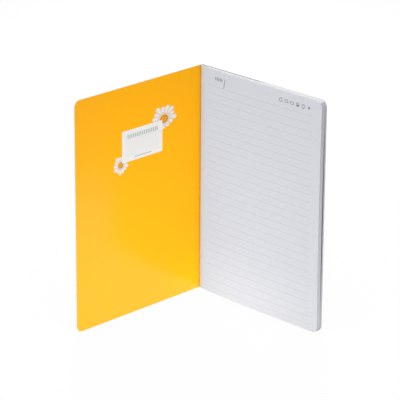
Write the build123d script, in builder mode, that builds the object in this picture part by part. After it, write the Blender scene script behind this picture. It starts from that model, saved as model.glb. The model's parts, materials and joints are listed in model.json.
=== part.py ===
from build123d import *
from math import cos, radians, sin
import os

# Soft-cover lined notebook: folded sheets stapled into a creased card cover, standing open at the first page.
# +X runs from the fold to the fore-edge, -Y faces the reader and +Z is up.
# The origin is the foot of the centre fold, on the surface that the notebook stands on.

# Trimmed notebook, closed
notebook_width = 148.0
notebook_height = 210.0
corner_radius = 6.0

# Folded sheets, each with one leaf on either side of the centre fold
sheet_count = 28
paper_thickness = 0.098

# The open front draws the fold towards the back, and the outer leaves rise out of it in long curves
fold_lean = 1.2
gutter_ease = 70.0
back_ease = 8.0
fold_round_share = 0.25
ease_hold_share = 0.3

# Forward bow of the first leaves at half height, most at the fore-edge
leaf_bow = 1.2

# Card cover, creased on both sides of a flat spine strip
card_thickness = 0.35
cover_clearance = 0.15
spine_clearance = 0.05
crease_clearance = 0.1
front_opening_degrees = 89.0

# Flat wire staples through the spine strip and the fold
wire_width = 0.7
wire_thickness = 0.45
staple_crown = 12.0
staple_tail = 4.5
staple_bend = 0.8
pierce_clearance = 0.05
staple_height_shares = {"lower_staple": 0.25, "upper_staple": 0.75}

# Plan positions that the pieces share
half_block = sheet_count * paper_thickness
first_leaf_y = -half_block - fold_lean
last_leaf_y = half_block - fold_lean
fold_x = -half_block
spine_inner_x = fold_x - spine_clearance
spine_outer_x = spine_inner_x - card_thickness
crease_x = (spine_inner_x + spine_outer_x) / 2
front_crease_y = first_leaf_y - cover_clearance - card_thickness / 2
back_crease_y = last_leaf_y + cover_clearance + card_thickness / 2
fore_edge_x = spine_outer_x + notebook_width


def wire_staple(height, clearance):
    """Flat wire bent into a crown, two legs and two tails clinched along the centre fold."""
    crown_x = spine_outer_x - wire_thickness / 2
    clinch_x = wire_thickness / 2
    leg_z = staple_crown / 2
    tail_z = leg_z - staple_tail - clearance
    with BuildPart() as staple:
        with BuildLine() as bent_wire:
            FilletPolyline(
                (clinch_x, 0, height + tail_z),
                (clinch_x, 0, height + leg_z),
                (crown_x, 0, height + leg_z),
                (crown_x, 0, height - leg_z),
                (clinch_x, 0, height - leg_z),
                (clinch_x, 0, height - tail_z),
                radius=staple_bend,
            )
        with BuildSketch(Plane(bent_wire.line @ 0, x_dir=(0, 1, 0), z_dir=bent_wire.line % 0)):
            Rectangle(wire_width + 2 * clearance, wire_thickness + 2 * clearance)
        sweep(path=bent_wire.line)
    return staple.part


def cover_panel(hinge_y, opening_degrees):
    """Card panel with rounded outer corners and a rounded edge on its crease."""
    along_x = cos(radians(opening_degrees))
    along_y = sin(radians(opening_degrees))
    panel_plane = Plane(
        origin=(crease_x, hinge_y, 0),
        x_dir=(along_x, -along_y, 0),
        z_dir=(-along_y, -along_x, 0),
    )
    with BuildPart() as panel:
        with BuildSketch(panel_plane) as outline:
            Rectangle(fore_edge_x - crease_x, notebook_height, align=Align.MIN)
            fillet(outline.vertices().group_by(Axis.X)[-1], corner_radius)
        extrude(amount=card_thickness / 2, both=True)
        with BuildSketch(Plane.XY):
            with Locations((crease_x, hinge_y)):
                Circle(card_thickness / 2)
        extrude(amount=notebook_height)
    return panel.part


# Staples, and the slightly wider holes that they pierce
staples = {}
staple_holes = []
for staple_name, height_share in staple_height_shares.items():
    staples[staple_name] = wire_staple(notebook_height * height_share, 0)
    staple_holes.append(wire_staple(notebook_height * height_share, pierce_clearance))

# Nested folded sheets, fanned forward at half height and trimmed with rounded fore-edge corners
leaf_levels = ((0, 0), (notebook_height / 2, leaf_bow), (notebook_height, 0))
with BuildPart() as page_block:
    for level, bow in leaf_levels:
        with BuildSketch(Plane.XY.offset(level)):
            with BuildLine():
                first_leaf = Bezier(
                    (fold_x, 0),
                    (fold_x, first_leaf_y * fold_round_share),
                    (fold_x + gutter_ease * ease_hold_share, first_leaf_y),
                    (fold_x + gutter_ease, first_leaf_y),
                )
                last_leaf = Bezier(
                    (fold_x, 0),
                    (fold_x, last_leaf_y * fold_round_share),
                    (fold_x + back_ease * ease_hold_share, last_leaf_y),
                    (fold_x + back_ease, last_leaf_y),
                )
                Polyline(
                    first_leaf @ 1,
                    (fore_edge_x, first_leaf_y - bow),
                    (fore_edge_x, last_leaf_y),
                    last_leaf @ 1,
                )
            make_face()
    loft()
    with BuildSketch(Plane.XZ) as trim:
        with Locations((fold_x, 0)):
            Rectangle(fore_edge_x - fold_x, notebook_height, align=Align.MIN)
        fillet(trim.vertices().group_by(Axis.X)[-1], corner_radius)
    extrude(amount=notebook_width, both=True, mode=Mode.INTERSECT)
    add(staple_holes, mode=Mode.SUBTRACT)

# Spine strip of the cover between its creases, pierced by the staples
strip_front_y = front_crease_y + card_thickness / 2 + crease_clearance
strip_back_y = back_crease_y - card_thickness / 2 - crease_clearance
with BuildPart() as spine_strip:
    with BuildSketch(Plane.XY):
        with Locations((spine_outer_x, strip_front_y)):
            Rectangle(card_thickness, strip_back_y - strip_front_y, align=Align.MIN)
    extrude(amount=notebook_height)
    add(staple_holes, mode=Mode.SUBTRACT)

# Front panel swung open, back panel closed behind the last leaf
front_cover = cover_panel(front_crease_y, front_opening_degrees)
back_cover = cover_panel(back_crease_y, 0)

pieces = {
    "page_block": page_block.part,
    "spine_strip": spine_strip.part,
    "front_cover": front_cover,
    "back_cover": back_cover,
    **staples,
}
os.makedirs("parts", exist_ok=True)
for piece_name, piece in pieces.items():
    piece.label = piece_name
    export_step(piece, f"parts/{piece_name}.step")
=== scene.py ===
import json
import math
from functools import reduce

import bmesh
import bpy
import numpy as np
from bpy.props import FloatProperty, FloatVectorProperty, IntProperty, PointerProperty
from bpy.types import Operator, Panel, PropertyGroup
from mathutils import Matrix, Vector


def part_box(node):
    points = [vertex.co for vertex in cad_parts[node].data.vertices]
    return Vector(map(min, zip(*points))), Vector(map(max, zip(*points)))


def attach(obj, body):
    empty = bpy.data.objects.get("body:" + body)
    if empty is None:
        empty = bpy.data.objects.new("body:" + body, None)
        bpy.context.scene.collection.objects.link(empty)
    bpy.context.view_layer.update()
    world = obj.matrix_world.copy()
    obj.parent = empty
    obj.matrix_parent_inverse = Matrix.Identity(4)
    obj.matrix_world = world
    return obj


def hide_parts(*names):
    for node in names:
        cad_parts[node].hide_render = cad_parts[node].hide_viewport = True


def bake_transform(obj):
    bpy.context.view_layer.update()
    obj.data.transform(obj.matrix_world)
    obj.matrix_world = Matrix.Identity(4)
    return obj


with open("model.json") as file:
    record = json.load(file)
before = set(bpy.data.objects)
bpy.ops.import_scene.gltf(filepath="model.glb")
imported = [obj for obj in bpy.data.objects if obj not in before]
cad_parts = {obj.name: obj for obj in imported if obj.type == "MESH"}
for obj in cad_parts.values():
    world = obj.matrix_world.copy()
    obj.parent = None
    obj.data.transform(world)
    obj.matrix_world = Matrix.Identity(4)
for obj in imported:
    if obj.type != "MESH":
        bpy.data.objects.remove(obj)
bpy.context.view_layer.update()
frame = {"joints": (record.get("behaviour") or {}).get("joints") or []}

bl_info = {
    "name": "Lined Notebook",
    "version": (1, 0, 0),
    "blender": (4, 5, 0),
    "location": "View3D > Sidebar > Notebook",
    "description": "Dresses a stapled soft-cover notebook with folded sheets, printed card and steel wire",
    "category": "Add Mesh",
}

# Places that the frame gives: the page block's box and the two crease lines of the cover
BLOCK_LOW, BLOCK_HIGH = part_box("page_block")
FOLD_X, FORE_EDGE_X = BLOCK_LOW.x, BLOCK_HIGH.x
HEIGHT = BLOCK_HIGH.z
CREASES = {joint["name"]: joint["pos_m"] for joint in frame["joints"]}
CREASE_X, FRONT_CREASE_Y, _ = CREASES["front_crease"]
BACK_CREASE_Y = CREASES["back_crease"][1]
PANEL_WIDTH = FORE_EDGE_X - CREASE_X

# Pages and cover are trimmed together, so their corners share one radius
CORNER_RADIUS = 0.006

# Samples along a leaf, a panel and a bend, up a sheet's height and round the wire
EASE_SAMPLES, LEAF_SAMPLES, CORNER_SAMPLES, ROW_SAMPLES = 16, 8, 12, 15
PANEL_SAMPLES, BEND_SAMPLES, WIRE_SAMPLES = 12, 9, 16
# Power that crowds a leaf's samples towards the fold
EASE_CROWDING = 1.7
# Power that squares the wire's section: 1 leaves an ellipse
WIRE_SQUARING = 0.5
# Edges that turn by more than this stay sharp
SHEET_SHARP, WIRE_SHARP = math.radians(35), math.radians(50)

# Faces of a thin sheet, in the order of its material slots
FACE_A, FACE_B, CUT_EDGE = range(3)
# Seed of the sheets' uneven spacing and trim
SEED = 4

# Numbers of a Mix node's colour sockets, whose names its other sockets share
MIX_UNDER, MIX_OVER, MIX_RESULT = 6, 7, 2

# Grain of each finish: repeats a metre, detail and, where it runs upwards, its scale in height
PAPER_CLOUDS = (260, 5)
PAPER_TOOTH = (2600, 2)
CUT_STREAKS = (2400, 4, 0.03)
INK_GRAIN = (3500, 2)
INK_MOTTLE = (700, 4)
FILM_RIPPLE = (420, 2)
CARD_LAYERS = (900, 4, 0.05)
STEEL_STREAKS = (5200, 3, 0.06)
FLOOR_GRAIN = (40, 2)
# How dark the grain gets, as a share of the colour
INNER_SHADE, CUT_SHADE, CARD_SHADE, STEEL_SHADE, FLOOR_SHADE = 0.9, 0.8, 0.8, 0.72, 0.99
# Depth of its relief
TOOTH_DEPTH, RIPPLE_DEPTH, LAYER_DEPTH, STREAK_DEPTH = 0.000015, 0.000004, 0.00002, 0.000008
# Roughness, from the smoothest to the roughest spot or everywhere, and specular level
PAPER_ROUGHNESS, FILM_ROUGHNESS, STEEL_ROUGHNESS = (0.72, 0.9), (0.16, 0.24), (0.24, 0.42)
CARD_ROUGHNESS, FLOOR_ROUGHNESS = 0.85, 0.9
PAPER_SPECULAR, FILM_SPECULAR = 0.25, 0.42
# Least and most coverage of ink on the paper's fibres, and width of a print's soft rim
INK_COVERAGE = (0.7, 1.0)
INK_SOFTNESS = 0.00008

# Where the shades on the leaves' cut edges start and where they are full.
# Depth is 0 at the back cover and 1 at the first page.
GAP_DEPTH = 0.26
GAP_SHADE = (0.1143, 0.0429)  # depth from the gap
BOW_SHADE = (0.5714, 0.9286)  # share of the leaves' forward bow
REAR_SHADE = (0.275, 0.15)  # depth
HEAD_TURN = (0.625, 0.875)  # share of the corner's height

# Proportions of the small marks, as shares of their radius
STEM_ASIDE = 0.7
ARCH_FOOT, ARCH_SPAN = 0.55, 2.4
OVAL_WIDTH, OVAL_HEIGHT = 1.25, 0.8
BASE_DROP, BASE_SPAN = 1.35, 0.8
DOT_RADIUS = 0.72

# Daisies, in shares of their radius: fade of the petals' roots and sides, rim of the disc and its softness
ROOT_FADE = 1 / 3
SIDE_FADE = (0.0389, -0.0722)
RIM_WIDTH, RIM_SOFTNESS = 0.08, 0.1
# Turn that spreads the petals' lengths evenly
GOLDEN_ANGLE = math.pi * (3 - math.sqrt(5))


def length(name, description, default):
    """Property for a length in metres."""
    return FloatProperty(name=name, description=description, default=default, unit="LENGTH", precision=5)


def share(name, description, default):
    """Property for a share from 0 to 1."""
    return FloatProperty(name=name, description=description, default=default, subtype="FACTOR", min=0, max=1)


def colour(name, description, default):
    """Property for a linear colour."""
    return FloatVectorProperty(
        name=name, description=description, default=default, subtype="COLOR", size=3, min=0, max=1
    )


def place(name, description, default):
    """Property for a place or size on a printed surface: across it, then down from its top."""
    return FloatVectorProperty(
        name=name, description=description, default=default, subtype="XYZ", unit="LENGTH", size=2
    )


def point(name, description, default):
    """Property for a point in the room."""
    return FloatVectorProperty(
        name=name, description=description, default=default, subtype="XYZ", unit="LENGTH", precision=5
    )


def angle(name, description, degrees):
    """Property for an angle."""
    return FloatProperty(name=name, description=description, default=math.radians(degrees), subtype="ANGLE")


def power(name, description, default):
    """Property for a lamp's power in watts."""
    return FloatProperty(name=name, description=description, default=default, unit="POWER", min=0)


class SheetSettings(PropertyGroup):
    """Folded sheets and the print on their pages."""

    sheet_count: IntProperty(name="Sheets", description="Folded sheets, two leaves each", default=28, min=2)
    paper_share: share("Paper share", "Share of the sheets' pitch that is paper; the rest is air", 0.92)
    pitch_spread: share("Pitch spread", "How unevenly the sheets are spaced", 0.12)
    trim_spread: length("Trim spread", "How far the leaves' fore-edges differ", 0.00006)
    gutter_ease: length("Gutter ease", "Length over which the first leaf rises out of the fold", 0.070)
    back_ease: length("Back ease", "Length over which the last leaf rises out of the fold", 0.008)
    fold_round_share: share("Fold round share", "How far the fold runs straight across", 0.25)
    ease_hold_share: share("Ease hold share", "How early the rise flattens out", 0.3)
    rear_lean: length("Rear lean", "How far the last leaf leans back towards the cover", 0.0001)
    leaf_bow: length("Leaf bow", "Forward bow of the first leaves at half height", 0.0012)
    rear_leaf_share: share("Rear leaf share", "Share of the leaves that stay by the back cover", 0.24)
    head_shade_full: length("Head shade full", "Up to where the rear leaves' heads are in full shade", 0.065)
    head_shade_end: length("Head shade end", "Where that shade ends", 0.078)
    corner_radius: length("Corner radius", "Rounding of the fore-edge corners", CORNER_RADIUS)

    rule_pitch: length("Rule pitch", "Distance between ruled lines", 0.007)
    rule_count: IntProperty(name="Rules", description="Ruled lines on a page", default=28, min=1)
    first_rule: length("First rule", "First ruled line, from the top", 0.0151)
    rule_start: length("Rule start", "Start of the ruled lines, from the left", 0.0103)
    rule_end: length("Rule end", "End of the ruled lines, from the left", 0.1375)
    rule_width: length("Rule width", "Thickness of the ruled lines", 0.00028)
    stroke_width: length("Stroke width", "Thickness of the small marks' outlines", 0.00058)
    heading_place: place("Heading place", "Middle of the page's short heading band", (0.0248, 0.0077))
    heading_size: place("Heading size", "Length and height of the heading band", (0.0094, 0.0030))
    heading_pitch: length("Heading pitch", "Distance between the strokes of the heading band", 0.0020)
    slash_place: place("Slash place", "Middle of the slanted stroke", (0.0319, 0.0102))
    slash_size: place("Slash size", "Lean and height of the slanted stroke", (0.0016, 0.0084))
    slash_width: length("Slash width", "Thickness of the slanted stroke", 0.0007)
    mark_place: place("Mark place", "Middle of the first small mark", (0.1000, 0.0085))
    mark_pitch: length("Mark pitch", "Distance between the small marks", 0.00658)
    mark_radius: length("Mark radius", "Radius of the small marks", 0.0016)

    paper_colour: colour("Paper", "Colour of the paper", (0.80, 0.81, 0.86))
    fibre_colour: colour("Fibre", "Colour of the denser fibres in the paper", (0.75, 0.76, 0.81))
    head_colour: colour("Head", "Colour of the leaves' cut heads and feet", (0.92, 0.92, 0.94))
    head_shade_colour: colour("Head shade", "Colour of the rear heads by the fold", (0.42, 0.42, 0.45))
    # Painted shade: the fore-edges are the same cut paper as the heads, painted greyer
    fore_edge_shade_colour: colour("Fore-edge", "Colour of the leaves' cut fore-edges", (0.57, 0.57, 0.64))
    gap_shade_colour: colour("Gap shade", "Colour of the fore-edges by the gap", (0.20, 0.20, 0.22))
    # Painted shade: the paper between the leaves is darker than the paper itself
    inner_shade_colour: colour("Inner paper", "Colour of the paper between the leaves", (0.26, 0.26, 0.29))
    rule_colour: colour("Rule", "Ink of the ruled lines", (0.55, 0.56, 0.61))
    mark_colour: colour("Mark", "Ink of the small marks", (0.16, 0.16, 0.20))


class CoverSettings(PropertyGroup):
    """Creased card cover and the print inside its front panel."""

    card_thickness: length("Card thickness", "Thickness of the card", 0.00035)
    corner_radius: length("Corner radius", "Rounding of the panels' outer corners", CORNER_RADIUS)
    opening: angle("Opening", "Swing of the front panel", 89)
    film_lean: angle("Film lean", "How far the film's shine turns back towards the free edge", 5)
    crease_reach: length("Crease reach", "How far the card bends on each side of a crease", 0.0006)

    label_place: place("Label place", "Middle of the label, from the crease", (0.0682, 0.0542))
    label_size: place("Label size", "Width and height of the label", (0.0488, 0.0284))
    label_margin: length("Label margin", "Width of the label's white margin", 0.0036)
    heading_place: place("Heading place", "Middle of the label's heading band", (0.0678, 0.0459))
    heading_size: place("Heading size", "Length and height of the heading band", (0.0375, 0.0038))
    heading_pitch: length("Heading pitch", "Distance between the strokes of the heading band", 0.0022)
    footing_place: place("Footing place", "Middle of the label's lower bar", (0.0674, 0.0656))
    footing_size: place("Footing size", "Length and thickness of the lower bar", (0.0206, 0.0008))
    large_daisy_place: place("Large daisy place", "Middle of the large daisy's petals", (0.0417, 0.0378))
    large_daisy_size: place("Large daisy size", "Width and height of the large daisy", (0.0288, 0.0207))
    large_disc_shift: place("Large disc shift", "Middle of its disc from that of its petals", (0, 0.0019))
    small_daisy_place: place("Small daisy place", "Middle of the small daisy's petals", (0.0944, 0.0696))
    small_daisy_size: place("Small daisy size", "Width and height of the small daisy", (0.0168, 0.0166))
    small_disc_shift: place("Small disc shift", "Middle of its disc from that of its petals", (0, 0))
    petal_count: IntProperty(name="Petals", description="Petals of a daisy", default=13, min=3)
    petal_gap_share: share("Petal gap share", "Share of a petal's room that is left open at its tip", 0.07)
    petal_spread: share("Petal spread", "How far the petals differ in length", 0.10)
    disc_share: share("Disc share", "Radius of a daisy's disc as a share of its own", 0.34)

    ink_colour: colour("Ink", "Colour of the printed card", (0.98, 0.45, 0.003))
    ink_deep_colour: colour("Deep ink", "Colour where the ink lies thicker", (0.96, 0.42, 0.002))
    card_colour: colour("Card", "Colour of the card's cut edge", (0.50, 0.50, 0.52))
    label_colour: colour("Label", "Colour of the label's margin", (0.76, 0.77, 0.79))
    field_colour: colour("Label field", "Colour of the label inside its margin", (0.74, 0.74, 0.75))
    heading_colour: colour("Heading", "Ink of the label's bands", (0.33, 0.43, 0.44))
    petal_colour: colour("Petal", "Colour of the petals", (0.76, 0.73, 0.73))
    petal_base_colour: colour("Petal base", "Colour of the petals near the disc", (0.56, 0.56, 0.57))
    disc_colour: colour("Disc", "Colour of the daisies' discs", (0.84, 0.30, 0.008))
    disc_rim_colour: colour("Disc rim", "Colour of the discs' rims", (0.42, 0.21, 0.012))


class WireSettings(PropertyGroup):
    """Flat steel wire of the staples."""

    wire_width: length("Wire width", "Width of the flat wire", 0.0007)
    wire_thickness: length("Wire thickness", "Thickness of the flat wire", 0.00045)
    bend_radius: length("Bend radius", "Radius of the wire's bends", 0.0008)
    staple_tail: length("Staple tail", "Length of the clinched tails", 0.0045)
    steel_colour: colour("Steel", "Colour of the wire", (0.60, 0.60, 0.62))


class StageSettings(PropertyGroup):
    """Floor, light and camera."""

    floor_size: length("Floor size", "Side of the floor", 9.0)
    floor_colour: colour("Floor", "Colour of the floor", (0.92, 0.92, 0.92))
    floor_glow_share: share("Floor glow share", "How far the floor shows as plain white", 0.91)
    pool_radius: length("Pool radius", "Reach of the floor's bright pool in reflections", 0.27)
    pool_fade: length("Pool fade", "Length over which the pool fades", 0.10)
    far_floor_share: share("Far floor share", "Brightness of the floor beyond the pool in reflections", 0.05)
    sky_colour: colour("Sky", "Colour of the soft light from all round", (0.97, 0.98, 1.0))
    sky_level: FloatProperty(name="Sky level", description="Strength of the sky's light", default=0.6)
    low_lamp_colour: colour("Low lamps", "Colour of the lamps near the floor", (1.0, 0.97, 0.84))
    overhead_place: point("Overhead lamp place", "Middle of the lamp above the notebook", (0.3, -0.3, 1.4))
    overhead_target: point("Overhead lamp target", "Point that it faces", (0, 0, 0))
    overhead_size: length("Overhead lamp size", "Length of its sides", 1.2)
    overhead_spread: angle("Overhead lamp spread", "Cone that it lights", 180)
    overhead_power: power("Overhead lamp power", "Power of its light", 7.6)
    side_place: point("Side lamp place", "Middle of the low lamp to the right", (1.0, -0.05, 0.06))
    side_target: point("Side lamp target", "Point that it faces", (0, -0.10, 0.02))
    side_size: length("Side lamp size", "Length of its sides", 0.10)
    side_spread: angle("Side lamp spread", "Cone that it lights", 36)
    side_power: power("Side lamp power", "Power of its light", 0.20)
    front_place: point("Front lamp place", "Middle of the low lamp in front of the page", (0.03, -0.5, 0.05))
    front_target: point("Front lamp target", "Point that it faces", (0.04, 0, 0))
    front_size: length("Front lamp size", "Length of its sides", 0.08)
    front_spread: angle("Front lamp spread", "Cone that it lights", 60)
    front_power: power("Front lamp power", "Power of its light", 0.040)
    gutter_place: point("Gutter lamp place", "Middle of the small lamp for the fold", (0.55, -0.20, 0.05))
    gutter_target: point("Gutter lamp target", "Point that it faces", (0, 0, 0))
    gutter_size: length("Gutter lamp size", "Length of its sides", 0.05)
    gutter_spread: angle("Gutter lamp spread", "Cone that it lights", 9)
    gutter_power: power("Gutter lamp power", "Power of its light", 0.004)
    rear_place: point("Rear lamp place", "Middle of the lamp behind the cover", (-0.9, 0.9, 0.4))
    rear_target: point("Rear lamp target", "Point that it faces", (0, 0, 0.1))
    rear_size: length("Rear lamp size", "Length of its sides", 0.4)
    rear_spread: angle("Rear lamp spread", "Cone that it lights", 90)
    rear_power: power("Rear lamp power", "Power of its light", 2.2)
    lens: FloatProperty(name="Lens", description="Focal length in millimetres", default=223.0)
    camera_place: point("Camera place", "Place of the camera", (1.47100, -1.47465, 0.83889))
    camera_pitch: angle("Camera pitch", "Downward tilt", 19.915)
    camera_turn: angle("Camera turn", "Turn to the left", 44.989)
    camera_roll: angle("Camera roll", "Tilt about the line of sight", 0.363)


class Field:
    """A value or colour that varies over a surface. Arithmetic on a value adds Math nodes to its tree."""

    def __init__(self, tree, socket):
        self.tree = tree
        self.socket = socket

    def feed(self, slot):
        """Links it to a node's input."""
        self.tree.links.new(self.socket, slot)

    def math(self, operation, *others, clamp=False):
        """Outcome of a Math node on this field and others, which are fields or constants."""
        node = self.tree.nodes.new("ShaderNodeMath")
        node.operation = operation
        node.use_clamp = clamp
        for slot, value in zip(node.inputs, (self, *others)):
            if isinstance(value, Field):
                value.feed(slot)
            else:
                slot.default_value = value
        return Field(self.tree, node.outputs[0])

    def __add__(self, other):
        return self.math("ADD", other)

    def __sub__(self, other):
        return self.math("SUBTRACT", other)

    def __mul__(self, other):
        return self.math("MULTIPLY", other)

    def __truediv__(self, other):
        return self.math("DIVIDE", other)

    def __abs__(self):
        return self.math("ABSOLUTE")

    def __neg__(self):
        return self.math("MULTIPLY", -1.0)

    def __and__(self, other):
        """Overlap of two shapes."""
        return self.math("MAXIMUM", other)

    def __or__(self, other):
        """Both shapes together."""
        return self.math("MINIMUM", other)

    def ramp(self, start, full):
        """0 up to start, 1 from full onwards; full may be the lower of the two."""
        scale = 1 / (full - start)
        return self.math("MULTIPLY_ADD", scale, -start * scale, clamp=True)

    def spread(self, low, high):
        """A field from 0 to 1 stretched between two values."""
        return self.math("MULTIPLY_ADD", high - low, low)

    def ink(self, softness=INK_SOFTNESS):
        """Coverage of a shape given by its distance field: 1 inside, 0 outside."""
        return self.ramp(softness / 2, -softness / 2)


def distance(across, down):
    """Distance from the middle of a shape."""
    return (across * across + down * down).math("SQRT")


def block(across, down, middle, size):
    """Upright rectangle, negative inside."""
    half_width, half_height = size[0] / 2, size[1] / 2
    return (abs(across - middle[0]) - half_width) & (abs(down - middle[1]) - half_height)


def hatch(across, down, middle, size, pitch):
    """Band of short upright strokes, as wide as the gaps between them, negative inside."""
    step = (across - middle[0]) / pitch
    strokes = abs(step - step.math("ROUND")) * pitch - pitch / 4
    return block(across, down, middle, size) & strokes


def paint(under, over, coverage):
    """Lays one colour over another where coverage says. Colours are fields or plain values."""
    node = coverage.tree.nodes.new("ShaderNodeMix")
    node.data_type = "RGBA"
    node.clamp_factor = True
    coverage.feed(node.inputs["Factor"])
    for slot, value in ((MIX_UNDER, under), (MIX_OVER, over)):
        if isinstance(value, Field):
            value.feed(node.inputs[slot])
        else:
            node.inputs[slot].default_value = (*value, 1)
    return Field(coverage.tree, node.outputs[MIX_RESULT])


def shaded(colour, shade, grain):
    """A colour that darkens to a share of itself where the grain is high."""
    return paint(colour, [value * shade for value in colour], grain)


class Finish:
    """A new material with its node tree, Principled shader and object coordinates."""

    def __init__(self, name):
        self.material = bpy.data.materials.new(name)
        self.material.use_nodes = True
        self.tree = self.material.node_tree
        self.shader = self.tree.nodes["Principled BSDF"]
        self.inputs = self.shader.inputs
        self.coordinates = self.tree.nodes.new("ShaderNodeTexCoord").outputs["Object"]

    def axes(self):
        """Fields of the surface's x, y and z."""
        node = self.tree.nodes.new("ShaderNodeSeparateXYZ")
        self.tree.links.new(self.coordinates, node.inputs["Vector"])
        return [Field(self.tree, axis) for axis in node.outputs]

    def noise(self, scale, detail, height_scale=1):
        """Noise field over the surface; scale is in repeats a metre."""
        mapping = self.tree.nodes.new("ShaderNodeMapping")
        mapping.inputs["Scale"].default_value = (1, 1, height_scale)
        texture = self.tree.nodes.new("ShaderNodeTexNoise")
        texture.inputs["Scale"].default_value = scale
        texture.inputs["Detail"].default_value = detail
        self.tree.links.new(self.coordinates, mapping.inputs["Vector"])
        self.tree.links.new(mapping.outputs["Vector"], texture.inputs["Vector"])
        return Field(self.tree, texture.outputs["Fac"])

    def relief(self, height, depth):
        """Fine bump of the given depth in metres."""
        bump = self.tree.nodes.new("ShaderNodeBump")
        bump.inputs["Distance"].default_value = depth
        height.feed(bump.inputs["Height"])
        self.tree.links.new(bump.outputs["Normal"], self.inputs["Normal"])


def finish_paper(finish):
    """Matt surface and tooth that every paper face shares."""
    tooth = finish.noise(*PAPER_TOOTH)
    finish.relief(tooth, TOOTH_DEPTH)
    tooth.spread(*PAPER_ROUGHNESS).feed(finish.inputs["Roughness"])
    finish.inputs["Specular IOR Level"].default_value = PAPER_SPECULAR


def inner_paper_material(settings):
    """Writing paper between the leaves: cloudy fibres, darkened by painted shade because little light falls
    there.
    """
    finish = Finish("inner_paper")
    clouds = finish.noise(*PAPER_CLOUDS)
    shaded(settings.inner_shade_colour, INNER_SHADE, clouds).feed(finish.inputs["Base Color"])
    finish_paper(finish)
    return finish.material


def cut_paper_material(settings):
    """Trimmed edges of the leaves: pale at the head, and streaked along the fore-edge, which painted shade
    turns grey.

    Painted shade also darkens the heads of the rear leaves by the fold, and the fore-edges beside the gap
    between the leaves.
    """
    finish = Finish("cut_paper")
    x, y, z = finish.axes()
    depth = -(y - BLOCK_HIGH.y) / (BLOCK_HIGH.y - BLOCK_LOW.y)
    level = z / HEIGHT
    # As the leaves' forward bow: 1 at half height, 0 at the head and the foot
    bow = level * (-level + 1) * 4
    # Painted shade greys the fore-edges under their streaks
    fore_edge = shaded(settings.fore_edge_shade_colour, CUT_SHADE, finish.noise(*CUT_STREAKS))
    by_gap = abs(depth - GAP_DEPTH).ramp(*GAP_SHADE) * bow.ramp(*BOW_SHADE)
    fore_edge = paint(fore_edge, settings.gap_shade_colour, by_gap)
    by_fold = depth.ramp(*REAR_SHADE) * x.ramp(settings.head_shade_end, settings.head_shade_full)
    head = paint(settings.head_colour, settings.head_shade_colour, by_fold)
    turned = (z - (HEIGHT - settings.corner_radius)) / settings.corner_radius
    paint(fore_edge, head, turned.ramp(*HEAD_TURN)).feed(finish.inputs["Base Color"])
    finish_paper(finish)
    return finish.material


def ring(x, y, radius, stroke):
    """Plain ring, negative inside its line."""
    return abs(distance(x, y) - radius) - stroke / 2


def stemmed_ring(x, y, radius, stroke):
    """Ring with a short stem that rises on its right."""
    stem = block(x, y, (radius * STEM_ASIDE, -radius), (stroke, radius))
    return ring(x, y, radius, stroke) | stem


def arch(x, y, radius, stroke):
    """Arch on a straight foot."""
    foot_y = radius * ARCH_FOOT
    foot = block(x, y, (0, foot_y), (radius * ARCH_SPAN, stroke))
    return (ring(x, y, radius, stroke) & (y - foot_y)) | foot


def oval(x, y, radius, stroke):
    """Wide oval line."""
    return ring(x / OVAL_WIDTH, y / OVAL_HEIGHT, radius, stroke)


def half_filled_ring(x, y, radius, stroke):
    """Ring whose lower half is filled."""
    return ring(x, y, radius, stroke) | ((distance(x, y) - radius) & -y)


def ring_on_base(x, y, radius, stroke):
    """Ring over a short base."""
    base = block(x, y, (0, radius * BASE_DROP), (radius * BASE_SPAN, stroke))
    return ring(x, y, radius, stroke) | base


def dot(x, y, radius, _stroke):
    """Filled dot."""
    return distance(x, y) - radius * DOT_RADIUS


def small_marks(across, down, settings):
    """Row of six plain marks at the head of a page."""
    shapes = []
    for number, mark in enumerate((stemmed_ring, arch, oval, half_filled_ring, ring_on_base, dot)):
        x = across - (settings.mark_place[0] + number * settings.mark_pitch)
        y = down - settings.mark_place[1]
        shapes.append(mark(x, y, settings.mark_radius, settings.stroke_width))
    return reduce(Field.__or__, shapes)


def ruled_page_material(settings):
    """Writing paper with printed rules, a short band, a slanted stroke and a row of small marks.

    Each page is printed from its left edge: the first page's is the fold, the last page's the fore-edge.
    """
    finish = Finish("ruled_page")
    x, y, z = finish.axes()
    from_fold = x - FOLD_X
    from_fore_edge = -(x - FORE_EDGE_X)
    last_page = y.math("GREATER_THAN", 0)
    across = from_fold + (from_fore_edge - from_fold) * last_page
    down = -(z - HEIGHT)

    step = (down - settings.first_rule) / settings.rule_pitch
    off_line = abs(step - step.math("ROUND")) * settings.rule_pitch
    last_step = settings.rule_count - 1
    rules = (off_line - settings.rule_width / 2) & (abs(step - last_step / 2) - (last_step + 1) / 2)
    middle = (settings.rule_start + settings.rule_end) / 2
    rules = rules & (abs(across - middle) - (settings.rule_end - middle))

    band = hatch(across, down, settings.heading_place, settings.heading_size, settings.heading_pitch)
    lean, rise = settings.slash_size
    slanted = across + (down - settings.slash_place[1]) * (lean / rise)
    slash = block(slanted, down, settings.slash_place, (settings.slash_width, rise))
    marks = band | slash | small_marks(across, down, settings)

    face = paint(settings.paper_colour, settings.fibre_colour, finish.noise(*PAPER_CLOUDS))
    grain = finish.noise(*INK_GRAIN).spread(*INK_COVERAGE)
    face = paint(face, settings.rule_colour, rules.ink() * grain)
    face = paint(face, settings.mark_colour, marks.ink() * grain)
    face.feed(finish.inputs["Base Color"])
    finish_paper(finish)
    return finish.material


def finish_card(finish, bow=None):
    """Thin satin film over printed card: soft shine with a faint ripple, turned by a bow if one is given."""
    ripple = finish.noise(*FILM_RIPPLE)
    height = ripple * RIPPLE_DEPTH
    finish.relief(height if bow is None else height + bow, 1)
    ripple.spread(*FILM_ROUGHNESS).feed(finish.inputs["Roughness"])
    finish.inputs["Specular IOR Level"].default_value = FILM_SPECULAR


def inked_face(finish, settings):
    """Printed colour with the faint mottle of ink on card."""
    return paint(settings.ink_colour, settings.ink_deep_colour, finish.noise(*INK_MOTTLE))


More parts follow.
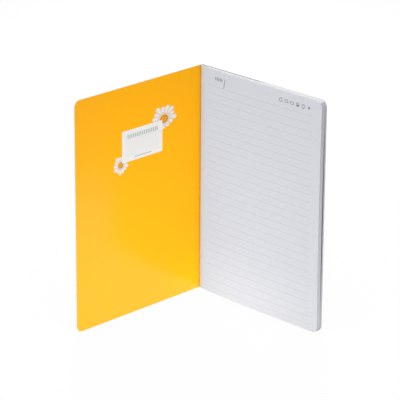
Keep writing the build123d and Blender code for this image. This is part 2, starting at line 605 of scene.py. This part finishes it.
def ink_material(settings):
    """Plain printed card under a satin film."""
    finish = Finish("printed_card")
    inked_face(finish, settings).feed(finish.inputs["Base Color"])
    finish_card(finish)
    return finish.material


def petal_ring(across, down, radius, settings):
    """Ring of round-tipped petals that narrow towards the middle, negative inside."""
    sector = math.tau / settings.petal_count
    turn = down.math("ARCTAN2", across) / sector
    number = turn.math("ROUND")
    off_axis = (turn - number) * sector
    reach = (number * GOLDEN_ANGLE).math("SINE") * settings.petal_spread + 1
    far = distance(across, down) / reach
    along = far * off_axis.math("COSINE")
    aside = far * off_axis.math("SINE")
    room = math.sin(sector / 2)
    tip_round = radius * room * (1 - settings.petal_gap_share) / (1 + room)
    tip = radius - tip_round
    root = radius * settings.disc_share
    root_round = root * room
    outward = along.ramp(root, tip)
    nearest = outward * (tip - root) + root
    return distance(along - nearest, aside) - (outward * (tip_round - root_round) + root_round)


def paint_daisy(face, across, down, middle, size, disc_shift, settings):
    """Daisy of separate petals about a round disc with a darker rim."""
    radius = size[0] / 2
    stretch = size[0] / size[1]
    x = across - middle[0]
    y = (down - middle[1]) * stretch
    far = distance(x - disc_shift[0], y - disc_shift[1] * stretch)
    petals = petal_ring(x, y, radius, settings)
    from_disc = (far / radius).ramp(settings.disc_share, settings.disc_share + ROOT_FADE)
    from_side = (petals / radius).ramp(*SIDE_FADE)
    petal = paint(settings.petal_base_colour, settings.petal_colour, from_disc * from_side)
    face = paint(face, petal, petals.ink())
    disc = far - radius * settings.disc_share
    face = paint(face, settings.disc_rim_colour, disc.ink())
    return paint(face, settings.disc_colour, (disc + radius * RIM_WIDTH).ink(radius * RIM_SOFTNESS))


def label_material(settings):
    """Printed card with a white label that lies over two daisies at its corners."""
    finish = Finish("printed_card_label")
    across, _, z = finish.axes()
    down = -(z - HEIGHT)
    face = inked_face(finish, settings)
    for middle, size, disc_shift in (
        (settings.large_daisy_place, settings.large_daisy_size, settings.large_disc_shift),
        (settings.small_daisy_place, settings.small_daisy_size, settings.small_disc_shift),
    ):
        face = paint_daisy(face, across, down, middle, size, disc_shift, settings)
    label = block(across, down, settings.label_place, settings.label_size)
    face = paint(face, settings.label_colour, label.ink())
    face = paint(face, settings.field_colour, (label + settings.label_margin).ink())
    bands = hatch(across, down, settings.heading_place, settings.heading_size, settings.heading_pitch)
    bands = bands | block(across, down, settings.footing_place, settings.footing_size)
    paint(face, settings.heading_colour, bands.ink()).feed(finish.inputs["Base Color"])
    # A shallow parabola, which leans most at the free edge
    bow = across * across * (-math.tan(settings.film_lean) / (2 * PANEL_WIDTH))
    finish_card(finish, bow)
    return finish.material


def cut_card_material(settings):
    """Cut edge of the card: pale pressed fibres in thin layers."""
    finish = Finish("cut_card")
    layers = finish.noise(*CARD_LAYERS)
    shaded(settings.card_colour, CARD_SHADE, layers).feed(finish.inputs["Base Color"])
    finish.relief(layers, LAYER_DEPTH)
    finish.inputs["Roughness"].default_value = CARD_ROUGHNESS
    return finish.material


def steel_material(settings):
    """Drawn steel wire: fine streaks along the wire and a soft shine."""
    finish = Finish("steel_wire")
    streaks = finish.noise(*STEEL_STREAKS)
    shaded(settings.steel_colour, STEEL_SHADE, streaks).feed(finish.inputs["Base Color"])
    streaks.spread(*STEEL_ROUGHNESS).feed(finish.inputs["Roughness"])
    finish.inputs["Metallic"].default_value = 1
    finish.relief(streaks, STREAK_DEPTH)
    return finish.material


def towards_corner(start, end, radius, samples):
    """Places from start to a rounded corner that ends at end, with more of them round the corner."""
    corner = end - radius
    turn = np.sin(np.linspace(0, math.pi / 2, CORNER_SAMPLES))[1:]
    return np.concatenate([np.linspace(start, corner, samples), corner + radius * turn])


def corner_rise(x, far_x, radius):
    """How far the rounded corner lifts a sheet's lower edge at x."""
    into = np.clip(x - (far_x - radius), 0, radius)
    return radius - np.sqrt(radius**2 - into**2)


def heights(rise):
    """Heights of a sheet's rows in each column; rise is how far its lower and upper edge are in there."""
    return rise[:, None] + (HEIGHT - 2 * rise[:, None]) * np.linspace(0, 1, ROW_SAMPLES)


def left_of(line):
    """Unit vectors to the left of a line's points."""
    along = np.gradient(line, axis=0)
    along /= np.linalg.norm(along, axis=1)[:, None]
    return np.stack([-along[:, 1], along[:, 0]], 1)


def finish_piece(name, mesh, shape, sharp, materials):
    """Object of a closed shape with its normals outwards, smooth except at edges beyond the sharp angle."""
    bmesh.ops.recalc_face_normals(shape, faces=shape.faces)
    shape.to_mesh(mesh)
    shape.free()
    for material in materials:
        mesh.materials.append(material)
    mesh.shade_smooth()
    mesh.set_sharp_from_angle(angle=sharp)
    piece = bpy.data.objects.new(name, mesh)
    bpy.context.scene.collection.objects.link(piece)
    return piece


def sheet_faces(columns, rows, start):
    """Faces of one closed thin sheet of two grids, with each face's material slot."""
    grid = start + np.arange(2 * columns * rows).reshape(2, columns, rows)
    faces, slots = [], []
    for side, slot in ((0, FACE_A), (1, FACE_B)):
        a, b, c, d = grid[side, :-1, :-1], grid[side, 1:, :-1], grid[side, 1:, 1:], grid[side, :-1, 1:]
        faces.append(np.stack([a, b, c, d], -1).reshape(-1, 4))
        slots.append(np.full(len(faces[-1]), slot))
    for rim in (grid[:, :, 0], grid[:, :, -1], grid[:, 0, :], grid[:, -1, :]):
        faces.append(np.stack([rim[0, :-1], rim[0, 1:], rim[1, 1:], rim[1, :-1]], -1))
        slots.append(np.full(len(faces[-1]), CUT_EDGE))
    return np.concatenate(faces), np.concatenate(slots)


def thin_sheets(name, sheets, materials):
    """One object of closed thin sheets. Each sheet is an array: two faces, columns, rows and x, y, z."""
    points, faces, slots, count = [], [], [], 0
    for sheet in sheets:
        _, columns, rows, _ = sheet.shape
        some_faces, some_slots = sheet_faces(columns, rows, count)
        points.append(sheet.reshape(-1, 3))
        faces.append(some_faces)
        slots.append(some_slots)
        count += 2 * columns * rows
    mesh = bpy.data.meshes.new(name)
    mesh.from_pydata(np.concatenate(points).tolist(), [], np.concatenate(faces).tolist())
    mesh.polygons.foreach_set("material_index", np.concatenate(slots).astype(np.int32))
    shape = bmesh.new()
    shape.from_mesh(mesh)
    return finish_piece(name, mesh, shape, SHEET_SHARP, materials)


def cubic(ends, shares):
    """Points of a cubic curve given by its four control points."""
    back = 1 - shares
    weights = np.stack([back**3, 3 * back**2 * shares, 3 * back * shares**2, shares**3], 1)
    return weights @ np.array(ends)


class FoldPlan:
    """Plan of the folded block: the first and last leaf's outlines, and every leaf between them."""

    def __init__(self, settings):
        self.settings = settings
        half_block = -FOLD_X
        first_y = BLOCK_LOW.y + settings.leaf_bow
        last_y = BLOCK_HIGH.y + settings.rear_lean
        self.outlines = {
            -1: self.outline(settings.gutter_ease, first_y),
            1: self.outline(settings.back_ease, last_y),
        }
        self.lean_share = (half_block + first_y) / first_y
        self.bow_start = FOLD_X + settings.gutter_ease

    def outline(self, ease, leaf_y):
        """From the fold to the fore-edge along an outermost leaf."""
        settings = self.settings
        shares = np.linspace(0, 1, EASE_SAMPLES) ** EASE_CROWDING
        rise = cubic(
            (
                (FOLD_X, 0),
                (FOLD_X, leaf_y * settings.fold_round_share),
                (FOLD_X + ease * settings.ease_hold_share, leaf_y),
                (FOLD_X + ease, leaf_y),
            ),
            shares,
        )
        tail = towards_corner(FOLD_X + ease, FORE_EDGE_X, settings.corner_radius, LEAF_SAMPLES)[1:]
        return np.concatenate([rise, np.stack([tail, np.full(len(tail), leaf_y)], 1)])

    def centre(self, x):
        """Middle of the block, which leans with the first leaf."""
        first = self.outlines[-1]
        return self.lean_share * np.interp(x, first[:, 0], first[:, 1])

    def leaf(self, side, depth_share):
        """A leaf's plan from fold to fore-edge; depth_share is 1 on the outside and 0 in the middle."""
        outline_x, outline_y = self.outlines[side].T
        offset = outline_y - self.centre(outline_x)
        fold = depth_share * FOLD_X
        stretch = (FORE_EDGE_X - fold) / (FORE_EDGE_X - FOLD_X)
        x = fold + (outline_x - FOLD_X) * stretch
        return x, self.centre(x) + depth_share * offset

    def surface(self, depth_share, trims, bows):
        """One face of a folded sheet, from the first half's fore-edge round the fold to the last half's."""
        halves = []
        for side, trim, bowed in zip((-1, 1), trims, bows):
            x, y = self.leaf(side, depth_share)
            z = heights(corner_rise(x, FORE_EDGE_X, self.settings.corner_radius))
            outward = np.clip((x - self.bow_start) / (FORE_EDGE_X - self.bow_start), 0, 1)
            bow = bowed * self.settings.leaf_bow * (1 - (2 * z / HEIGHT - 1) ** 2)
            trimmed_x = x - np.where(x > FORE_EDGE_X - self.settings.corner_radius, trim, 0)
            bowed_y = y[:, None] - outward[:, None] * bow
            halves.append(np.stack(np.broadcast_arrays(trimmed_x[:, None], bowed_y, z), -1))
        first, last = halves
        return np.concatenate([first[:0:-1], last])


def folded_sheets(settings):
    """All folded sheets, from the innermost to the outermost."""
    random = np.random.default_rng(SEED)
    plan = FoldPlan(settings)
    count = settings.sheet_count
    pitches = 1 + settings.pitch_spread * random.uniform(-1, 1, count)
    outer = np.cumsum(pitches) / pitches.sum()
    paper = settings.paper_share * pitches.min() / pitches.sum()
    split = 1 - 2 * settings.rear_leaf_share
    sheets = []
    for depth_share in outer:
        trims = random.uniform(0, settings.trim_spread, 2) * (depth_share < 1)
        bows = (1, float(depth_share < split))
        faces = [plan.surface(d, trims, bows) for d in (depth_share, depth_share - paper)]
        sheets.append(np.stack(faces))
    return sheets


def card_strip(name, line, corner, settings, materials):
    """Card along a plan line, its first face to the line's left, with corners of that radius at the end."""
    line = np.array(line)
    left = left_of(line) * settings.card_thickness / 2
    z = heights(corner_rise(line[:, 0], line[-1, 0], corner))
    faces = []
    for plan in (line + left, line - left):
        faces.append(np.stack(np.broadcast_arrays(plan[:, :1], plan[:, 1:], z), -1))
    return thin_sheets(name, [np.stack(faces)], materials)


def panel_line(settings):
    """Plan line of a cover panel in its own frame, from beside its crease to the fore-edge."""
    x = towards_corner(settings.crease_reach, PANEL_WIDTH, settings.corner_radius, PANEL_SAMPLES)
    return np.stack([x, np.zeros(len(x))], 1)


def wire_line(low, high, settings):
    """Middle line of a staple in x and z, from one tail round the crown to the other, with round bends."""
    half = settings.wire_thickness / 2
    crown_x, clinch_x = low.x + half, high.x - half
    foot_z, head_z = low.z + half, high.z - half
    corners = np.array([
        (clinch_x, head_z - settings.staple_tail),
        (clinch_x, head_z),
        (crown_x, head_z),
        (crown_x, foot_z),
        (clinch_x, foot_z),
        (clinch_x, foot_z + settings.staple_tail),
    ])
    line = [corners[0]]
    for before, corner, after in zip(corners, corners[1:], corners[2:]):
        towards_before = (before - corner) / np.linalg.norm(before - corner)
        towards_after = (after - corner) / np.linalg.norm(after - corner)
        middle = corner + settings.bend_radius * (towards_before + towards_after)
        for turn in np.linspace(0, math.pi / 2, BEND_SAMPLES):
            step = -math.cos(turn) * towards_after - math.sin(turn) * towards_before
            line.append(middle + settings.bend_radius * step)
    return np.array([*line, corners[-1]])


def squared(values):
    """Sines or cosines pushed outwards, so that their circle turns into a squarer one."""
    return np.sign(values) * np.abs(values) ** WIRE_SQUARING


def wire_staple(name, node, settings, steel):
    """Flat wire with rounded edges, swept along its bent line."""
    line = wire_line(*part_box(node), settings)
    turns = np.linspace(0, math.tau, WIRE_SAMPLES, endpoint=False)
    aside = settings.wire_width / 2 * squared(np.cos(turns))
    outward = settings.wire_thickness / 2 * squared(np.sin(turns))
    shape = bmesh.new()
    sections = []
    for (x, z), (left_x, left_z) in zip(line, left_of(line)):
        corners = [(x + out * left_x, y, z + out * left_z) for y, out in zip(aside, outward)]
        sections.append([shape.verts.new(corner) for corner in corners])
    for section, following in zip(sections, sections[1:]):
        for number in range(WIRE_SAMPLES):
            after = (number + 1) % WIRE_SAMPLES
            shape.faces.new((section[number], section[after], following[after], following[number]))
    shape.faces.new(sections[0])
    shape.faces.new(sections[-1])
    return finish_piece(name, bpy.data.meshes.new(name), shape, WIRE_SHARP, [steel])


def seen_directly(tree):
    """1 for rays that show the floor or sky themselves: from the camera, a reflection or through glass."""
    path = tree.nodes.new("ShaderNodeLightPath")
    kinds = ("Is Camera Ray", "Is Glossy Ray", "Is Transmission Ray")
    camera, glossy, through = (Field(tree, path.outputs[kind]) for kind in kinds)
    return camera.math("MAXIMUM", glossy).math("MAXIMUM", through)


def floor_material(settings):
    """Pale floor that shows as white and keeps a soft shadow. In reflections it is bright only in a pool."""
    finish = Finish("pale_floor")
    tree = finish.tree
    shaded(settings.floor_colour, FLOOR_SHADE, finish.noise(*FLOOR_GRAIN)).feed(finish.inputs["Base Color"])
    finish.inputs["Roughness"].default_value = FLOOR_ROUGHNESS
    x, y, _ = finish.axes()
    beyond = distance(x, y).ramp(settings.pool_radius, settings.pool_radius + settings.pool_fade)
    path = tree.nodes.new("ShaderNodeLightPath")
    dimmed = beyond * Field(tree, path.outputs["Is Glossy Ray"]) * (1 - settings.far_floor_share)
    glow = tree.nodes.new("ShaderNodeEmission")
    (-dimmed + 1).feed(glow.inputs["Strength"])
    mix = tree.nodes.new("ShaderNodeMixShader")
    (seen_directly(tree) * settings.floor_glow_share).feed(mix.inputs["Fac"])
    tree.links.new(finish.shader.outputs["BSDF"], mix.inputs[1])
    tree.links.new(glow.outputs["Emission"], mix.inputs[2])
    tree.links.new(mix.outputs["Shader"], tree.nodes["Material Output"].inputs["Surface"])
    return finish.material


class NOTEBOOK_OT_sheets(Operator):
    """Nest the folded sheets and print the outermost one"""

    bl_idname = "notebook.sheets"
    bl_label = "Folded Sheets"

    def execute(self, context):
        settings = context.scene.notebook_sheets
        # The paper between the leaves carries painted shade, and the cut edges carry painted shade on the
        # fore-edge
        paper, edge = inner_paper_material(settings), cut_paper_material(settings)
        *inner, outer = folded_sheets(settings)
        pieces = [
            thin_sheets("inner_sheets", inner, [paper, paper, edge]),
            thin_sheets("outer_sheet", [outer], [ruled_page_material(settings), paper, edge]),
        ]
        for piece in pieces:
            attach(piece, "block")
            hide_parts("page_block")
            # The cover's film doesn't mirror the pages
            piece.visible_glossy = False
        return {"FINISHED"}


class NOTEBOOK_OT_panels(Operator):
    """Cut the cover's two panels and print the inside of the front one"""

    bl_idname = "notebook.panels"
    bl_label = "Cover Panels"

    def execute(self, context):
        settings = context.scene.notebook_cover
        plain, edge = ink_material(settings), cut_card_material(settings)
        line = panel_line(settings)
        for body, crease_y, turn, faces in (
            ("front_cover", FRONT_CREASE_Y, -settings.opening, (label_material(settings), plain)),
            ("back_cover", BACK_CREASE_Y, 0.0, (plain, plain)),
        ):
            panel = card_strip(body + "_panel", line, settings.corner_radius, settings, [*faces, edge])
            panel.matrix_world = Matrix.Translation((CREASE_X, crease_y, 0)) @ Matrix.Rotation(turn, 4, "Z")
            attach(panel, body)
            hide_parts(body)
            # The cover throws no orange light on the pages
            panel.visible_diffuse = False
        return {"FINISHED"}


class NOTEBOOK_OT_spine(Operator):
    """Make the flat spine strip and the two creases that bend beside it"""

    bl_idname = "notebook.spine"
    bl_label = "Spine and Creases"

    def execute(self, context):
        settings = context.scene.notebook_cover
        plain, edge = bpy.data.materials["printed_card"], bpy.data.materials["cut_card"]
        reach = settings.crease_reach
        strip_ends = {
            "front_cover": np.array((CREASE_X, FRONT_CREASE_Y + reach)),
            "back_cover": np.array((CREASE_X, BACK_CREASE_Y - reach)),
        }
        strip = card_strip("spine", list(strip_ends.values()), 0, settings, [plain, plain, edge])
        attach(strip, "block")
        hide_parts("spine_strip")
        for body, crease_y, turn in (
            ("front_cover", FRONT_CREASE_Y, settings.opening),
            ("back_cover", BACK_CREASE_Y, 0.0),
        ):
            corner = np.array((CREASE_X, crease_y))
            start = strip_ends[body]
            end = corner + reach * np.array((math.cos(turn), -math.sin(turn)))
            shares = np.linspace(0, 1, BEND_SAMPLES)[:, None]
            line = (1 - shares) ** 2 * start + 2 * shares * (1 - shares) * corner + shares**2 * end
            crease = card_strip(body + "_crease", line, 0, settings, [plain, plain, edge])
            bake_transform(crease)
            crease.visible_diffuse = False
        return {"FINISHED"}


class NOTEBOOK_OT_staples(Operator):
    """Bend the two wire staples through the spine and the fold"""

    bl_idname = "notebook.staples"
    bl_label = "Wire Staples"

    def execute(self, context):
        settings = context.scene.notebook_wire
        steel = steel_material(settings)
        for node in ("lower_staple", "upper_staple"):
            wire = wire_staple(node + "_wire", node, settings, steel)
            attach(wire, "block")
            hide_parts(node)
        return {"FINISHED"}


class NOTEBOOK_OT_stage(Operator):
    """Lay the floor, set the light and place the camera"""

    bl_idname = "notebook.stage"
    bl_label = "Stage"

    def execute(self, context):
        settings = context.scene.notebook_stage
        self.lay_floor(context, settings)
        self.light_sky(context, settings)
        for name in ("overhead", "rear"):
            self.hang_lamp(context, settings, name)
        for name in ("side", "front", "gutter"):
            lamp = self.hang_lamp(context, settings, name)
            lamp.data.color = settings.low_lamp_colour
            # They don't glare in the film
            lamp.visible_glossy = False
        self.place_camera(context, settings)
        context.scene.view_settings.view_transform = "Standard"
        return {"FINISHED"}

    def lay_floor(self, context, settings):
        half = settings.floor_size / 2
        mesh = bpy.data.meshes.new("floor")
        corners = [(-half, -half, 0), (half, -half, 0), (half, half, 0), (-half, half, 0)]
        mesh.from_pydata(corners, [], [(0, 1, 2, 3)])
        mesh.materials.append(floor_material(settings))
        floor = bpy.data.objects.new("floor", mesh)
        context.scene.collection.objects.link(floor)

    def light_sky(self, context, settings):
        sky = bpy.data.worlds.new("studio_sky")
        sky.use_nodes = True
        tree = sky.node_tree
        background = tree.nodes["Background"]
        direct = seen_directly(tree)
        paint(settings.sky_colour, (1, 1, 1), direct).feed(background.inputs["Color"])
        direct.spread(settings.sky_level, 1).feed(background.inputs["Strength"])
        context.scene.world = sky

    def hang_lamp(self, context, settings, name):
        lamp_data = bpy.data.lights.new(name + "_lamp", "AREA")
        lamp_data.size = getattr(settings, name + "_size")
        lamp_data.spread = getattr(settings, name + "_spread")
        lamp_data.energy = getattr(settings, name + "_power")
        lamp = bpy.data.objects.new(name + "_lamp", lamp_data)
        context.scene.collection.objects.link(lamp)
        lamp.location = getattr(settings, name + "_place")
        lamp.visible_camera = False
        aim = Vector(getattr(settings, name + "_target")) - lamp.location
        lamp.rotation_euler = aim.to_track_quat("-Z", "Y").to_euler()
        return lamp

    def place_camera(self, context, settings):
        camera_data = bpy.data.cameras.new("camera")
        camera_data.lens = settings.lens
        camera = bpy.data.objects.new("camera", camera_data)
        context.scene.collection.objects.link(camera)
        turn = Matrix.Rotation(settings.camera_turn, 4, "Z")
        pitch = Matrix.Rotation(math.pi / 2 - settings.camera_pitch, 4, "X")
        roll = Matrix.Rotation(settings.camera_roll, 4, "Z")
        camera.matrix_world = Matrix.Translation(settings.camera_place) @ turn @ pitch @ roll
        context.scene.camera = camera


OPERATORS = (
    NOTEBOOK_OT_sheets,
    NOTEBOOK_OT_panels,
    NOTEBOOK_OT_spine,
    NOTEBOOK_OT_staples,
    NOTEBOOK_OT_stage,
)
SETTINGS = {
    "notebook_sheets": SheetSettings,
    "notebook_cover": CoverSettings,
    "notebook_wire": WireSettings,
    "notebook_stage": StageSettings,
}


class NOTEBOOK_PT_sidebar(Panel):
    """Steps and settings of the notebook"""

    bl_idname = "NOTEBOOK_PT_sidebar"
    bl_label = "Lined Notebook"
    bl_space_type = "VIEW_3D"
    bl_region_type = "UI"
    bl_category = "Notebook"

    def draw(self, context):
        for operator in OPERATORS:
            self.layout.operator(operator.bl_idname)
        for name, group in SETTINGS.items():
            box = self.layout.box()
            box.label(text=group.__doc__)
            for key in group.__annotations__:
                box.prop(getattr(context.scene, name), key)


CLASSES = (*SETTINGS.values(), *OPERATORS, NOTEBOOK_PT_sidebar)


def register():
    for item in CLASSES:
        bpy.utils.register_class(item)
    for name, group in SETTINGS.items():
        setattr(bpy.types.Scene, name, PointerProperty(type=group))


def unregister():
    for name in SETTINGS:
        delattr(bpy.types.Scene, name)
    for item in reversed(CLASSES):
        bpy.utils.unregister_class(item)


def main():
    register()
    bpy.ops.notebook.sheets()
    bpy.ops.notebook.panels()
    bpy.ops.notebook.spine()
    bpy.ops.notebook.staples()
    bpy.ops.notebook.stage()


if __name__ == "__main__":
    main()
